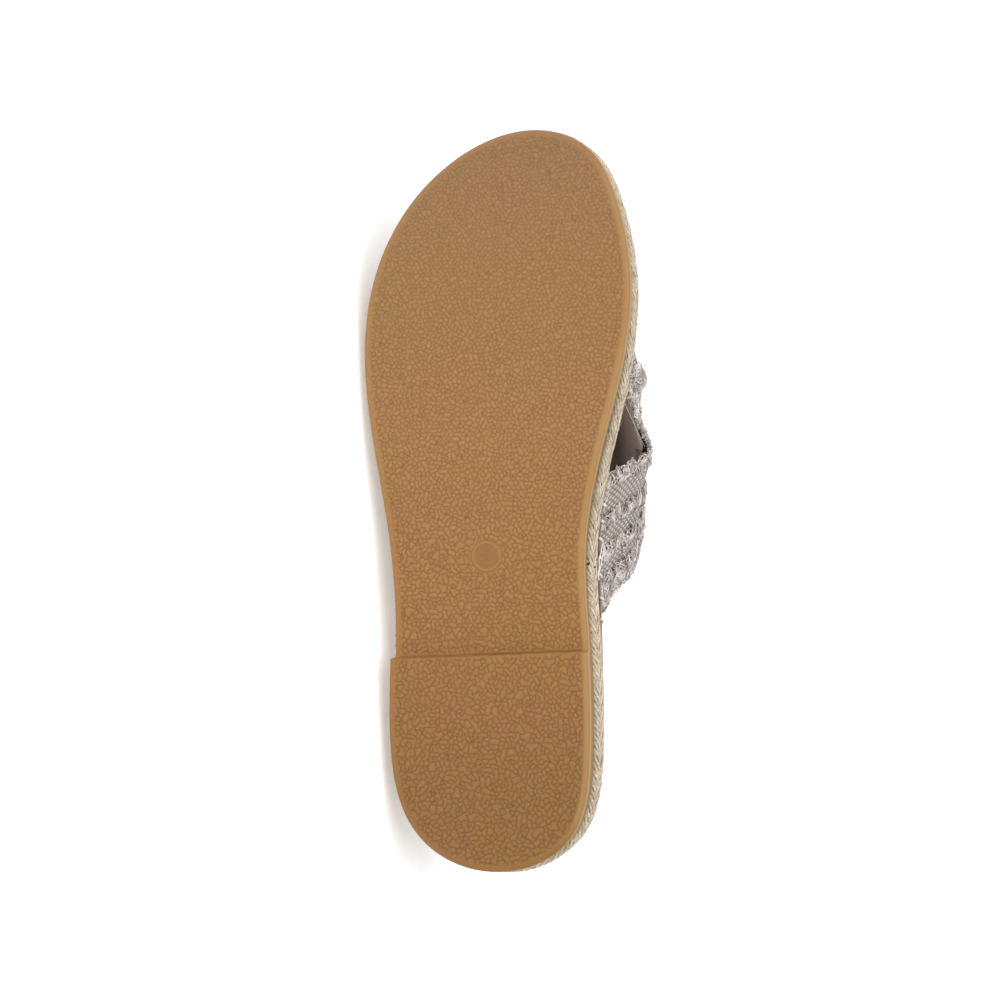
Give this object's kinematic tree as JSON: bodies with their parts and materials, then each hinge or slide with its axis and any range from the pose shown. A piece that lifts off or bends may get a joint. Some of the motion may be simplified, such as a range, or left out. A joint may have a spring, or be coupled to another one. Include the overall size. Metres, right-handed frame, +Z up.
{
  "type": "espadrille mule",
  "caption": "Right espadrille mule on its side: rubber outsole with heel block, jute rope midsole, footbed and crossed canvas straps with frayed edges.",
  "frame": {"origin": "middle of the floor area under the lying shoe", "axes": "+Z up from the floor the shoe lies on, toe towards -X, tread towards -Y, medial side up"},
  "size_m": [0.2676, 0.1008, 0.1001],
  "materials": {
    "rubber": "caramel gum rubber with a fine pebbled relief, satin",
    "jute": "pale twisted jute rope, matt and fibrous",
    "footbed": "brown brushed footbed, matt",
    "canvas": "grey taupe woven canvas with frayed pale edges, matt"
  },
  "bodies": {
    "root": {"outsole": "rubber", "midsole": "jute", "insole": "footbed", "upper": "canvas"}
  },
  "joints": []
}
